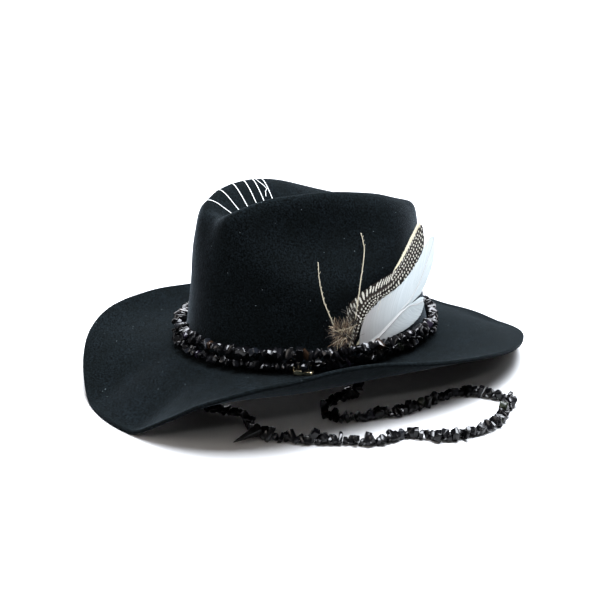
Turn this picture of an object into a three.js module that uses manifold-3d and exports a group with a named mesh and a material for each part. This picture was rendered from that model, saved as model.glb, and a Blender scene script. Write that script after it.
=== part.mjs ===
// A black felt hat of western cut, resting on a table on the front and back of its brim.
// The hat has a pinched teardrop crown, a band of two strands of stone chips, a spray of
// feathers on the wearer's left, and a loose chin strand of chips that lies on the table.
// Millimetres, +Z up, front of the hat towards -Y, wearer's left towards +X.
// A turn is an angle round the head, from the front (0) by the side (90) to the back (180).

import * as THREE from 'three';
import { mergeVertices } from 'three/addons/utils/BufferGeometryUtils.js';
import Module from 'manifold-3d';

// Felt body
const HEAD_LENGTH = 208;
const HEAD_WIDTH = 172;
const CROWN_HEIGHT = 121;
const FELT = 2.5;
const FOOT_HEIGHT = 29;
const FOOT_CURVE = 6;
const BRIM_FRONT = 79;
const BRIM_SIDE = 49;
const BRIM_BACK = 97;
const SIDE_LIFT = 42;
const COLUMNS = 54;

// Stone chips
const CHIP_WIDE = 8.2;
const CHIP_DEEP = 5.4;
const CHIP_PITCH = 7.6;
const NECK_RADIUS = 2.6;
const UNEVEN = 0.22;
const GOLD_LONG = 13;
const GOLD_WIDE = 4.5;
const GOLD_DEEP = 3.4;
const SPIKE_LONG = 25;
const SPIKE_RADIUS = 4.2;
const KNOT_RADIUS = 3;

// Feathers
const VANE = 0.6;
const SHAFT_RISE = 0.3;
const SHEET_LEAN = 0.05;
const SHEET_SPRING = 230;
const QUILL_RADIUS = 0.7;
const FLUFF_RADIUS = 4.5;
const LOCK_LENGTH = 15;

// Clearance between pieces that touch
const GAP = 0.3;

const HALF_LENGTH = HEAD_LENGTH / 2;
const HALF_WIDTH = HEAD_WIDTH / 2;
const CHIP_REACH = Math.hypot(CHIP_WIDE, CHIP_DEEP) / 2;
const LAYER = VANE + SHAFT_RISE + GAP;

const wasm = await Module();
wasm.setup();

// Materials
const paint = (color, roughness, metalness = 0) =>
  new THREE.MeshStandardMaterial({ color, roughness, metalness });
const feltMaterial = paint(0x1c2022, 0.95);
const stoneMaterial = paint(0x0b0b0d, 0.15);
const goldMaterial = paint(0xb98a3c, 0.3, 0.9);
const whiteMaterial = paint(0xe2eaec, 0.7);
const guineaMaterial = paint(0x3a332b, 0.7);
const creamMaterial = paint(0xe9e2c4, 0.7);
const fluffMaterial = paint(0x7d7265, 0.9);
const quillMaterial = paint(0xd9d2bf, 0.5);

// Smooth value of one column of a table, without overshoot between its rows
function smooth(table, key, column, at) {
  const last = table.length - 1;
  if (at <= table[0][key]) return table[0][column];
  if (at >= table[last][key]) return table[last][column];
  const slope = (i) => (table[i + 1][column] - table[i][column]) / (table[i + 1][key] - table[i][key]);
  const bend = (i) => {
    if (i === 0 || i === last) return 0;
    const before = slope(i - 1);
    const after = slope(i);
    return before * after <= 0 ? 0 : (2 * before * after) / (before + after);
  };
  const i = table.findIndex((row, n) => at >= row[key] && at < table[n + 1][key]);
  const span = table[i + 1][key] - table[i][key];
  const t = (at - table[i][key]) / span;
  const start = table[i][column];
  const end = table[i + 1][column];
  const ease = t * t * (3 - 2 * t);
  return start + (end - start) * ease
    + span * (bend(i) * t * (1 - t) ** 2 - bend(i + 1) * t * t * (1 - t));
}

const mix = THREE.MathUtils.lerp;
const rad = THREE.MathUtils.degToRad;

// Brim edge round the head. front and back are the shares of the way from the side width to
// the width there, and lift is the edge's height above the table as a share of SIDE_LIFT.
const brimEdge = [
  { turn: 0, front: 1.0, back: 0.0, lift: 0.0 },
  { turn: 9, front: 1.0, back: 0.0, lift: 0.0 },
  { turn: 20, front: 1.0, back: 0.0, lift: 0.33 },
  { turn: 30, front: 0.97, back: 0.0, lift: 0.67 },
  { turn: 45, front: 0.72, back: 0.0, lift: 0.94 },
  { turn: 60, front: 0.26, back: 0.0, lift: 1.0 },
  { turn: 76, front: 0.0, back: 0.0, lift: 0.93 },
  { turn: 90, front: 0.0, back: 0.07, lift: 0.85 },
  { turn: 110, front: 0.0, back: 0.27, lift: 0.73 },
  { turn: 130, front: 0.0, back: 0.52, lift: 0.55 },
  { turn: 150, front: 0.0, back: 0.75, lift: 0.32 },
  { turn: 165, front: 0.0, back: 0.9, lift: 0.09 },
  { turn: 172, front: 0.0, back: 0.97, lift: 0.0 },
  { turn: 180, front: 0.0, back: 1.0, lift: 0.0 },
];

// Section of the brim, from its edge in to the crown's foot. dip is the share of the way to
// the edge's height where the brim goes down to the table, curl where it rolls up.
const brimSection = [
  { out: 1.0, dip: 1.0, curl: 1.0 },
  { out: 0.93, dip: 1.0, curl: 0.83 },
  { out: 0.8, dip: 0.88, curl: 0.54 },
  { out: 0.62, dip: 0.63, curl: 0.25 },
  { out: 0.42, dip: 0.36, curl: 0.07 },
  { out: 0.2, dip: 0.13, curl: 0.0 },
  { out: 0.0, dip: 0.0, curl: 0.0 },
];

// Section of the crown's wall, from its foot up to the ridge. taper is the foot oval's share
// that is left, and plain and pinched are the shares of the way in to the ridge line. pinched
// is drawn for a dent whose lower edge is at DENT_LIP.
const DENT_LIP = 0.45;
const wallSection = [
  { up: 0.0, taper: 1.0, plain: 0.0, pinched: 0.0 },
  { up: 0.07, taper: 0.985, plain: 0.0, pinched: 0.0 },
  { up: 0.2, taper: 0.965, plain: 0.0, pinched: 0.0 },
  { up: 0.35, taper: 0.945, plain: 0.01, pinched: 0.0 },
  { up: 0.45, taper: 0.935, plain: 0.02, pinched: 0.05 },
  { up: 0.54, taper: 0.93, plain: 0.04, pinched: 0.22 },
  { up: 0.62, taper: 0.925, plain: 0.07, pinched: 0.43 },
  { up: 0.7, taper: 0.92, plain: 0.12, pinched: 0.63 },
  { up: 0.79, taper: 0.915, plain: 0.21, pinched: 0.74 },
  { up: 0.88, taper: 0.91, plain: 0.36, pinched: 0.8 },
  { up: 0.94, taper: 0.91, plain: 0.54, pinched: 0.87 },
  { up: 0.98, taper: 0.91, plain: 0.77, pinched: 0.95 },
  { up: 1.0, taper: 0.91, plain: 1.0, pinched: 1.0 },
];

// Ridge line round the top. reach is its distance from the middle as a share of half the head
// length, left and right its height as a share of CROWN_HEIGHT. pinch is how deep the side
// dent is below it, and lip how far up the wall that dent's lower edge is.
const ridgeLine = [
  { turn: 0, reach: 0.83, left: 0.84, right: 0.84, pinch: 0.0, lip: 0.8 },
  { turn: 10, reach: 0.845, left: 0.88, right: 0.86, pinch: 0.0, lip: 0.8 },
  { turn: 17, reach: 0.81, left: 0.92, right: 0.89, pinch: 0.0, lip: 0.8 },
  { turn: 24, reach: 0.75, left: 0.955, right: 0.915, pinch: 0.4, lip: 0.74 },
  { turn: 32, reach: 0.68, left: 0.98, right: 0.945, pinch: 0.92, lip: 0.62 },
  { turn: 46, reach: 0.585, left: 0.99, right: 0.965, pinch: 1.0, lip: 0.5 },
  { turn: 61, reach: 0.525, left: 1.0, right: 0.97, pinch: 1.0, lip: 0.455 },
  { turn: 80, reach: 0.485, left: 1.0, right: 0.96, pinch: 0.92, lip: 0.45 },
  { turn: 99, reach: 0.505, left: 0.985, right: 0.935, pinch: 0.6, lip: 0.56 },
  { turn: 118, reach: 0.57, left: 0.95, right: 0.89, pinch: 0.15, lip: 0.66 },
  { turn: 137, reach: 0.69, left: 0.885, right: 0.83, pinch: 0.0, lip: 0.7 },
  { turn: 150, reach: 0.79, left: 0.815, right: 0.79, pinch: 0.0, lip: 0.7 },
  { turn: 165, reach: 0.85, left: 0.775, right: 0.77, pinch: 0.0, lip: 0.7 },
  { turn: 180, reach: 0.865, left: 0.765, right: 0.765, pinch: 0.0, lip: 0.7 },
];

// Slope from the ridge in and down to the crease
const topSection = [
  { in: 0.1, drop: 0.05 },
  { in: 0.25, drop: 0.21 },
  { in: 0.45, drop: 0.51 },
  { in: 0.65, drop: 0.79 },
  { in: 0.84, drop: 0.96 },
  { in: 1.0, drop: 1.0 },
];

// Bottom of the crease. along is its place as a share of half the head length, floor its
// height as a share of CROWN_HEIGHT.
const crease = [
  { turn: 0, along: -0.56, floor: 0.8 },
  { turn: 30, along: -0.46, floor: 0.765 },
  { turn: 60, along: -0.26, floor: 0.73 },
  { turn: 90, along: 0.0, floor: 0.715 },
  { turn: 130, along: 0.32, floor: 0.715 },
  { turn: 180, along: 0.5, floor: 0.725 },
];

// Places on the felt's outer face
const turnOf = (angle) => Math.abs(Math.round(((angle + 540) % 360 - 180) * 1e6) / 1e6);
const headReach = (angle) =>
  1 / Math.hypot(Math.sin(rad(angle)) / HALF_WIDTH, Math.cos(rad(angle)) / HALF_LENGTH);
const spot = (angle, reach, height) =>
  new THREE.Vector3(Math.sin(rad(angle)) * reach, -Math.cos(rad(angle)) * reach, height);

function brimSpot(angle, row) {
  const turn = turnOf(angle);
  const front = (BRIM_FRONT - BRIM_SIDE) * smooth(brimEdge, 'turn', 'front', turn);
  const back = (BRIM_BACK - BRIM_SIDE) * smooth(brimEdge, 'turn', 'back', turn);
  const width = BRIM_SIDE + front + back - FOOT_CURVE;
  const lift = smooth(brimEdge, 'turn', 'lift', turn);
  const edge = FELT + SIDE_LIFT * lift;
  const share = mix(row.dip, row.curl, lift);
  const reach = headReach(angle) + FOOT_CURVE + width * row.out;
  return spot(angle, reach, mix(FOOT_HEIGHT, edge, share));
}

function footCurveSpot(angle) {
  const corner = FOOT_CURVE * (1 - Math.SQRT1_2);
  return spot(angle, headReach(angle) + corner, FOOT_HEIGHT + corner);
}

function ridgeSpot(angle) {
  const turn = turnOf(angle);
  const side = (angle + 360) % 360 < 180 ? 'left' : 'right';
  const height = FOOT_HEIGHT + CROWN_HEIGHT * smooth(ridgeLine, 'turn', side, turn);
  return spot(angle, HALF_LENGTH * smooth(ridgeLine, 'turn', 'reach', turn), height);
}

function wallSpot(angle, up) {
  const ridgeShare = (column) => smooth(ridgeLine, 'turn', column, turnOf(angle));
  const lip = ridgeShare('lip');
  const dentUp = up < lip
    ? (up * DENT_LIP) / lip
    : 1 - ((1 - up) * (1 - DENT_LIP)) / (1 - lip);
  const taper = smooth(wallSection, 'up', 'taper', up);
  const plain = smooth(wallSection, 'up', 'plain', up);
  const pinched = smooth(wallSection, 'up', 'pinched', dentUp);
  const low = FOOT_HEIGHT + FOOT_CURVE;
  const ridge = ridgeSpot(angle);
  const wall = spot(angle, headReach(angle) * taper, mix(low, ridge.z, up));
  const inward = mix(plain, pinched, ridgeShare('pinch'));
  return new THREE.Vector3(mix(wall.x, ridge.x, inward), mix(wall.y, ridge.y, inward), wall.z);
}

function topSpot(angle, row) {
  const turn = turnOf(angle);
  const ridge = ridgeSpot(angle);
  const y = HALF_LENGTH * smooth(crease, 'turn', 'along', turn);
  const z = FOOT_HEIGHT + CROWN_HEIGHT * smooth(crease, 'turn', 'floor', turn);
  return new THREE.Vector3(
    mix(ridge.x, 0, row.in), mix(ridge.y, y, row.in), mix(ridge.z, z, row.drop));
}

// The felt: an outer face of rings from the brim's edge to the crease, and the same face one
// felt thickness further in, joined round the edge. The last ring closes on the crease line.
function feltBody() {
  const rings = [
    ...brimSection.map((row) => (angle) => brimSpot(angle, row)),
    footCurveSpot,
    ...wallSection.map((row) => (angle) => wallSpot(angle, row.up)),
    ...topSection.map((row) => (angle) => topSpot(angle, row)),
  ];
  const closing = rings.length - 1;
  const id = (ring, column) => {
    const turned = column % COLUMNS;
    return ring * COLUMNS + (ring === closing ? Math.min(turned, COLUMNS - turned) : turned);
  };
  const points = [];
  for (const ring of rings) {
    for (let column = 0; column < COLUMNS; column += 1) {
      const folded = ring === rings[closing] && column > COLUMNS / 2 ? COLUMNS - column : column;
      points.push(ring((folded * 360) / COLUMNS));
    }
  }
  const faces = [];
  for (let ring = 0; ring < closing; ring += 1) {
    for (let column = 0; column < COLUMNS; column += 1) {
      const a = id(ring, column);
      const b = id(ring, column + 1);
      const c = id(ring + 1, column + 1);
      const d = id(ring + 1, column);
      faces.push([a, b, c]);
      if (c !== d) faces.push([a, c, d]);
    }
  }
  const outer = new THREE.BufferGeometry().setFromPoints(points);
  outer.setIndex(faces.flat());
  outer.computeVertexNormals();
  const normals = outer.getAttribute('normal');
  const inner = points.map((point, n) => {
    const inward = new THREE.Vector3().fromBufferAttribute(normals, n).multiplyScalar(-FELT);
    const place = point.clone().add(inward);
    // Only where the brim meets the table is the felt pressed flat
    if (place.z < GAP) place.z = 0;
    return place;
  });
  const count = points.length;
  const all = [...faces.map((face) => [...face])];
  for (const [a, b, c] of faces) all.push([a + count, c + count, b + count]);
  for (let column = 0; column < COLUMNS; column += 1) {
    const a = id(0, column);
    const b = id(0, column + 1);
    all.push([a, a + count, b + count], [a, b + count, b]);
  }
  const body = new THREE.BufferGeometry().setFromPoints([...points, ...inner]);
  body.setIndex(all.flat());
  return body;
}

// Closed meshes to solids and back
function toSolid(geometry) {
  const bare = geometry.clone();
  bare.deleteAttribute('normal');
  bare.deleteAttribute('uv');
  const merged = mergeVertices(bare, 1e-4);
  return new wasm.Manifold(new wasm.Mesh({
    numProp: 3,
    vertProperties: new Float32Array(merged.getAttribute('position').array),
    triVerts: new Uint32Array(merged.getIndex().array),
  }));
}

function toGeometry(solid) {
  const mesh = solid.getMesh();
  const geometry = new THREE.BufferGeometry();
  geometry.setAttribute('position', new THREE.BufferAttribute(mesh.vertProperties.slice(), 3));
  geometry.setIndex(new THREE.BufferAttribute(mesh.triVerts.slice(), 1));
  return geometry;
}

const fuse = (geometries) =>
  toGeometry(geometries.map(toSolid).reduce((whole, next) => whole.add(next)));

// Repeatable uneven numbers between 0 and 1
function unevenness(seed) {
  let state = seed;
  return () => {
    state = (state * 16807) % 2147483647;
    return state / 2147483647;
  };
}

// A strand of rough chips: four-cornered sections along a curve, narrow at each neck on the
// thread and wide at each chip, with uneven corners. A chip's long way lies across one pair of
// corners or the other. Chips on the table are let down onto it.
function chipStrand(curve, closed, seed) {
  const random = unevenness(seed);
  const chips = Math.round(curve.getLength() / CHIP_PITCH);
  const stations = chips * 2;
  const frames = curve.computeFrenetFrames(stations, closed);
  const points = [];
  const sections = closed ? stations : stations + 1;
  for (let n = 0; n < sections; n += 1) {
    const middle = curve.getPointAt(n / stations);
    const belly = n % 2 === 1;
    const start = mix(-UNEVEN, UNEVEN, random());
    const longWay = random() < 0.5 ? 0 : 1;
    const section = [];
    for (let corner = 0; corner < 4; corner += 1) {
      const angle = (corner * Math.PI) / 2 + start + mix(-UNEVEN, UNEVEN, random());
      const half = corner % 2 === longWay ? CHIP_REACH : CHIP_DEEP / 2;
      const reach = belly ? half * mix(0.75, 1, random()) : NECK_RADIUS;
      section.push(middle.clone()
        .addScaledVector(frames.normals[n], Math.cos(angle) * reach)
        .addScaledVector(frames.binormals[n], Math.sin(angle) * reach));
    }
    const lowest = Math.min(...section.map((point) => point.z));
    if (belly && middle.z < CHIP_REACH + GAP) section.forEach((point) => { point.z -= lowest; });
    points.push(...section);
  }
  const faces = [];
  const spans = stations;
  for (let n = 0; n < spans; n += 1) {
    for (let corner = 0; corner < 4; corner += 1) {
      const next = (n + 1) % sections;
      const turn = (corner + 1) % 4;
      const [p, q, r, t] = [n * 4 + corner, n * 4 + turn, next * 4 + turn, next * 4 + corner];
      faces.push([p, q, r], [p, r, t]);
    }
  }
  if (!closed) {
    const end = stations * 4;
    faces.push([0, 2, 1], [0, 3, 2], [end, end + 1, end + 2], [end, end + 2, end + 3]);
  }
  const strand = new THREE.BufferGeometry().setFromPoints(points);
  strand.setIndex(faces.flat());
  return strand;
}

// Plan of the feathers: a sheet that follows the crown's side and springs free behind it.
// up is the height over the brim's foot.
const FEATHER_CENTRE = -5;
const SHEET_FRONT = HALF_LENGTH ** 2 / HALF_WIDTH;
const FEATHER_FOOT = 13;
function sheetSpot(y, up, out) {
  const side = wallSpot(90, 0.09).x + GAP;
  const radius = y < FEATHER_CENTRE ? SHEET_FRONT : SHEET_SPRING;
  const round = (y - FEATHER_CENTRE) ** 2 / (2 * radius);
  const lean = SHEET_LEAN * (up - FEATHER_FOOT);
  return new THREE.Vector3(side - round - lean + out, y, FOOT_HEIGHT + up);
}

// Band: two closed strands round the crown's foot. The upper one passes over the feathers.
const stackAt = [
  { y: -80, share: 0 },
  { y: -50, share: 1 },
  { y: 40, share: 1 },
  { y: 80, share: 0 },
];
function bandCurve(height, overFeathers) {
  const points = [];
  for (let angle = 0; angle < 360; angle += 10) {
    const up = Math.max(0, (height - FOOT_CURVE) / (CROWN_HEIGHT - FOOT_CURVE));
    const wall = wallSpot(angle, up);
    const outward = new THREE.Vector3(wall.x / HALF_WIDTH ** 2, wall.y / HALF_LENGTH ** 2, 0);
    const stack = angle < 180 ? smooth(stackAt, 'y', 'share', wall.y) * overFeathers : 0;
    const away = CHIP_REACH + GAP + stack;
    const place = wall.addScaledVector(outward.normalize(), away);
    place.z = FOOT_HEIGHT + height;
    points.push(place);
  }
  return new THREE.CatmullRomCurve3(points, true);
}
const LOWER_STRAND = CHIP_REACH + 4 * GAP;
const UPPER_STRAND = LOWER_STRAND + 2 * CHIP_REACH - 3 * GAP;
const FEATHER_STACK = 4 * LAYER + GAP;

const lowerCurve = bandCurve(LOWER_STRAND, 0);
const upperCurve = bandCurve(UPPER_STRAND, FEATHER_STACK);

// Chin strand: its route over the table, from inside the crown on the wearer's left, out under
// the brim and back, and round below the front brim to the wearer's right
const ON_TABLE = CHIP_REACH;
const KNOT_HEIGHT = FOOT_HEIGHT + FOOT_CURVE + 1;
const chinRoute = [
  [76, -9, 20], [81, -19, ON_TABLE], [79, -34, ON_TABLE], [82, -48, ON_TABLE],
  [92, -56, ON_TABLE], [105, -54, ON_TABLE], [114, -39, ON_TABLE], [122, -18, ON_TABLE],
  [125, 6, ON_TABLE], [123, 32, ON_TABLE], [129, 51, ON_TABLE], [145, 60, ON_TABLE],
  [158, 66, ON_TABLE], [166, 48, ON_TABLE], [177, 28, ON_TABLE], [178, 11, ON_TABLE],
  [172, -14, ON_TABLE], [152, -33, ON_TABLE], [147, -56, ON_TABLE], [131, -74, ON_TABLE],
  [114, -95, ON_TABLE], [93, -112, ON_TABLE], [78, -111, ON_TABLE], [61, -104, ON_TABLE],
  [32, -117, ON_TABLE], [-5, -122, ON_TABLE], [-41, -114, ON_TABLE], [-72, -89, ON_TABLE],
  [-86, -54, ON_TABLE], [-81, -24, ON_TABLE], [-76, -9, 20],
];
const knotReach = wallSpot(90, 0).x - FELT - GAP - KNOT_RADIUS;
const chinCurve = new THREE.CatmullRomCurve3([
  new THREE.Vector3(knotReach, 0, KNOT_HEIGHT),
  ...chinRoute.map((point) => new THREE.Vector3(...point)),
  new THREE.Vector3(-knotReach, 0, KNOT_HEIGHT),
]);

// The long pointed stone hangs off the strand's front, its point down on the table
const SPIKE_ROOT = new THREE.Vector3(93, -113, 8.5);
const SPIKE_HEADING = new THREE.Vector3(-4, -20, -6).normalize();
function spike() {
  const stone = new THREE.ConeGeometry(SPIKE_RADIUS, SPIKE_LONG, 5);
  stone.translate(0, SPIKE_LONG / 2 - SPIKE_RADIUS, 0);
  const facing = new THREE.Quaternion().setFromUnitVectors(new THREE.Vector3(0, 1, 0), SPIKE_HEADING);
  return stone.applyQuaternion(facing).translate(SPIKE_ROOT.x, SPIKE_ROOT.y, SPIKE_ROOT.z);
}

function chinStrand() {
  const knots = [0, 1].map((end) => {
    const place = chinCurve.getPointAt(end);
    return new THREE.IcosahedronGeometry(KNOT_RADIUS).translate(place.x, place.y, place.z);
  });
  return fuse([chipStrand(chinCurve, false, 77), spike(), ...knots]);
}

// The one brass-coloured chip, on the brim just outside the lower strand
const GOLD_TURN = 50;
function goldChip() {
  const outward = 2 * CHIP_REACH - GOLD_WIDE / 2;
  const share = (outward - FOOT_CURVE) / (BRIM_SIDE - FOOT_CURVE);
  const row = {
    dip: smooth([...brimSection].reverse(), 'out', 'dip', share),
    curl: smooth([...brimSection].reverse(), 'out', 'curl', share),
    out: share,
  };
  const under = brimSpot(GOLD_TURN, row);
  const stone = new THREE.OctahedronGeometry(0.5, 1).scale(GOLD_LONG, GOLD_WIDE, GOLD_DEEP);
  stone.rotateZ(rad(GOLD_TURN));
  return stone.translate(under.x, under.y, under.z + GOLD_DEEP / 2 + GAP);
}

// A feather lies in the sheet as a thin plate with a raised shaft. Each row of its table has
// three places (y, up) on the sheet: on the shaft, and on the vane's edges above and below it.
function feather({ layer, rows }) {
  const out = layer * LAYER;
  const halfway = (a, b) => [mix(a[0], b[0], 0.5), mix(a[1], b[1], 0.5)];
  const points = [];
  for (const { above, shaft, below } of rows) {
    const across = [below, halfway(below, shaft), shaft, halfway(shaft, above), above];
    for (const place of across) {
      const rise = place === shaft ? SHAFT_RISE : 0;
      points.push(sheetSpot(...place, out), sheetSpot(...place, out + VANE + rise));
    }
  }
  const wide = 5;
  const id = (row, column, face) => (row * wide + column) * 2 + face;
  const faces = [];
  const quad = (a, b, c, d) => faces.push([a, b, c], [a, c, d]);
  const last = rows.length - 1;
  for (let row = 0; row < last; row += 1) {
    for (let column = 0; column < wide - 1; column += 1) {
      const next = column + 1;
      quad(id(row, column, 1), id(row + 1, column, 1), id(row + 1, next, 1), id(row, next, 1));
      quad(id(row, column, 0), id(row, next, 0), id(row + 1, next, 0), id(row + 1, column, 0));
    }
    quad(id(row, 0, 0), id(row + 1, 0, 0), id(row + 1, 0, 1), id(row, 0, 1));
    const edge = wide - 1;
    quad(id(row, edge, 0), id(row, edge, 1), id(row + 1, edge, 1), id(row + 1, edge, 0));
  }
  for (let column = 0; column < wide - 1; column += 1) {
    const next = column + 1;
    quad(id(0, column, 0), id(0, column, 1), id(0, next, 1), id(0, next, 0));
    quad(id(last, column, 0), id(last, next, 0), id(last, next, 1), id(last, column, 1));
  }
  const geometry = new THREE.BufferGeometry().setFromPoints(points);
  geometry.setIndex(faces.flat());
  return geometry;
}

// Feathers, each in its layer of the stack
const feathers = {
  cream_feather: {
    layer: 0, material: creamMaterial,
    rows: [
      { above: [-23, 14], shaft: [-22, 13], below: [-21, 12] },
      { above: [-6, 35], shaft: [-4, 33], below: [-2, 31] },
      { above: [8, 55.5], shaft: [12, 51], below: [18, 45] },
      { above: [17, 65], shaft: [23, 59], below: [33, 52] },
      { above: [27, 75.5], shaft: [33, 70], below: [47, 61] },
      { above: [36, 85.5], shaft: [41, 81], below: [53.5, 73] },
      { above: [43, 92.5], shaft: [46, 89.5], below: [54, 81] },
      { above: [46, 95.5], shaft: [48, 94.5], below: [51, 90] },
    ],
  },
  guinea_feather: {
    layer: 1, material: guineaMaterial,
    rows: [
      { above: [-29.5, 14], shaft: [-28, 13], below: [-26.5, 12.5] },
      { above: [-31, 31], shaft: [-25, 27], below: [-21.5, 24] },
      { above: [-29, 44], shaft: [-20, 39], below: [-13, 36] },
      { above: [-21, 52], shaft: [-13, 47.5], below: [-4, 43] },
      { above: [-6, 58], shaft: [-2, 51], below: [5, 46.5] },
      { above: [8, 62], shaft: [11, 55], below: [17, 50] },
      { above: [19, 66], shaft: [22, 62], below: [29, 55] },
      { above: [28, 74], shaft: [32, 71], below: [43, 63] },
      { above: [37, 83.5], shaft: [41, 81], below: [51, 72] },
      { above: [45, 91], shaft: [47, 89.5], below: [52.5, 82] },
      { above: [48, 92.5], shaft: [49, 92], below: [50.5, 90] },
    ],
  },
  white_feather_long: {
    layer: 2, material: whiteMaterial,
    rows: [
      { above: [-27, 16], shaft: [-20, 12.5], below: [-19, 12] },
      { above: [-24, 23], shaft: [-8, 16], below: [-7, 15] },
      { above: [-15, 36], shaft: [4, 23], below: [5, 22] },
      { above: [-3, 44.5], shaft: [13, 28], below: [14, 27] },
      { above: [10, 49], shaft: [22, 33], below: [23, 32] },
      { above: [24, 54.5], shaft: [31, 37.5], below: [33, 36] },
      { above: [36, 62], shaft: [41, 46], below: [48, 40] },
      { above: [46, 70], shaft: [50, 57], below: [58, 50.5] },
      { above: [53, 78], shaft: [58, 68], below: [65, 61] },
      { above: [60, 81.5], shaft: [64, 77], below: [67.5, 71] },
      { above: [64, 81.5], shaft: [65, 80.5], below: [66, 79] },
    ],
  },
  white_feather_short: {
    layer: 3, material: whiteMaterial,
    rows: [
      { above: [-14, 13.5], shaft: [-14, 13], below: [-13, 12.5] },
      { above: [-4.5, 18.8], shaft: [-4, 18], below: [0, 15] },
      { above: [8, 26], shaft: [8.5, 25], below: [14, 16] },
      { above: [19, 32], shaft: [19.5, 31], below: [27, 17.5] },
      { above: [29, 35.5], shaft: [29, 34.5], below: [36, 19.5] },
      { above: [37, 37], shaft: [37, 33.5], below: [43, 22.5] },
      { above: [44, 38], shaft: [43.5, 33.5], below: [47.5, 27] },
      { above: [48.5, 36.5], shaft: [48, 34], below: [49, 31] },
    ],
  },
};

// Stripped quills, as round rods through a few places (y, up), each so far out of the sheet
const quills = {
  quill_left: { out: -0.2, places: [[-33, 13], [-39, 32], [-46, 52], [-48.5, 68], [-49, 79]] },
  quill_right: { out: 3.1, places: [[-30, 13], [-24, 36], [-19, 63], [-15.5, 84], [-18, 97]] },
};
function quill({ out, places }) {
  const path = new THREE.CatmullRomCurve3(places.map(([y, up]) => sheetSpot(y, up, out)));
  const section = new THREE.Shape();
  section.absarc(0, 0, QUILL_RADIUS, 0, Math.PI * 2);
  return new THREE.ExtrudeGeometry(section, { steps: 10, curveSegments: 3, extrudePath: path });
}

// Down at the feathers' foot: locks that fan out of a small core
function fluff() {
  const random = unevenness(5);
  const centre = sheetSpot(-38, 32, FEATHER_STACK + FLUFF_RADIUS * 0.4);
  const core = new THREE.IcosahedronGeometry(FLUFF_RADIUS).scale(0.6, 1.2, 1.1);
  const locks = [];
  for (let n = 0; n < 9; n += 1) {
    const lock = new THREE.ConeGeometry(FLUFF_RADIUS * 0.5, LOCK_LENGTH, 5);
    lock.translate(0, LOCK_LENGTH / 2, 0);
    lock.rotateX(Math.PI / 2);
    lock.rotateY(mix(0, 0.25, random()));
    lock.rotateX(mix(-1.3, 1.9, n / 8));
    locks.push(lock);
  }
  return fuse([core, ...locks]).translate(centre.x, centre.y, centre.z);
}

const hat = new THREE.Group();
function add(name, geometry, material) {
  const mesh = new THREE.Mesh(geometry, material);
  mesh.name = name;
  hat.add(mesh);
  return mesh;
}

add('felt_body', feltBody(), feltMaterial);
add('band_strand_upper', chipStrand(upperCurve, true, 11), stoneMaterial);
add('band_strand_lower', chipStrand(lowerCurve, true, 23), stoneMaterial);
add('gold_chip', goldChip(), goldMaterial);
add('chin_strand', chinStrand(), stoneMaterial);
for (const [name, plan] of Object.entries(feathers)) add(name, feather(plan), plan.material);
for (const [name, plan] of Object.entries(quills)) add(name, quill(plan), quillMaterial);
add('fluff', fluff(), fluffMaterial);

// The whole part stands on the table with the middle of its box over the origin
const part = new THREE.Group();
part.add(hat);
const box = new THREE.Box3().setFromObject(hat);
const middle = box.getCenter(new THREE.Vector3());
hat.position.set(-middle.x, -middle.y, 0);

export default part;
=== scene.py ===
# %% [markdown]
# # A black felt hat, its stone-chip band and its feathers
#
# The CAD model gives the frame: where each part of the hat is and how large it is. This lesson
# dresses it. The felt becomes one smooth pressed sheet, each strand gets its own chips, and
# the feathers get their barbs. The first cell loads the frame and notes its size.

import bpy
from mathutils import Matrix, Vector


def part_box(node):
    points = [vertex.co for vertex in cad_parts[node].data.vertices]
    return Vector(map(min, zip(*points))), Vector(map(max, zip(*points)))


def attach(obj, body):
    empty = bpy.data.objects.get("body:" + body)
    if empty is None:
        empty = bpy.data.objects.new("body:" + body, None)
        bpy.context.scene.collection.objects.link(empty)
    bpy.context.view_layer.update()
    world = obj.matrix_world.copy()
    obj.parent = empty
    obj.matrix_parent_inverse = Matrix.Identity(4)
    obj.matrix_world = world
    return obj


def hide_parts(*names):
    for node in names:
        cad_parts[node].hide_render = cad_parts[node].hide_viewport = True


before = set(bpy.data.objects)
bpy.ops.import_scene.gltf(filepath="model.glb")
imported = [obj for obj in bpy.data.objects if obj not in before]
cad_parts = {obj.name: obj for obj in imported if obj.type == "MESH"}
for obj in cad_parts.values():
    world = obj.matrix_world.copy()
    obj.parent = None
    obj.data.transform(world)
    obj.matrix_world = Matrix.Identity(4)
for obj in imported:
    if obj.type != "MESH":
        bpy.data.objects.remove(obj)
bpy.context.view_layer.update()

# %% Modules and units
import math
import random

import bpy
from mathutils import Matrix, Vector

MM = 0.001
scene = bpy.context.scene
scene.view_settings.view_transform = "Standard"

# %% [markdown]
# ## The hat's own sizes
#
# A hatter measures from the middle of the head, so the sizes below are millimetres from the
# middle of the head oval, with the table at zero. The felt's box tells where that middle is
# in the frame.

# %% Sizes of the felt
HALF_LENGTH = 104
HALF_WIDTH = 86
CROWN_HEIGHT = 121
FELT = 2.5
FOOT_HEIGHT = 29
FOOT_CURVE = 6
BRIM_FRONT = 79
BRIM_SIDE = 49
BRIM_BACK = 97
SIDE_LIFT = 42
LEFT_ROLL = 7.5
felt_low, felt_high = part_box("felt_body")
HAT = Vector(((felt_low.x + felt_high.x) / 2, felt_low.y + (HALF_LENGTH + BRIM_FRONT) * MM, 0))


def in_frame(place):
    """A place in the hat's millimetres as a place in the frame's metres."""
    return HAT + place * MM


print("middle of the head in the frame:", [round(value, 4) for value in HAT])

# %% [markdown]
# ## The camera
#
# The photograph looks down a little at the hat's left front. The camera aims at the middle of
# the crown and is shifted very slightly, because the hat sits off the picture's middle.

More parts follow.
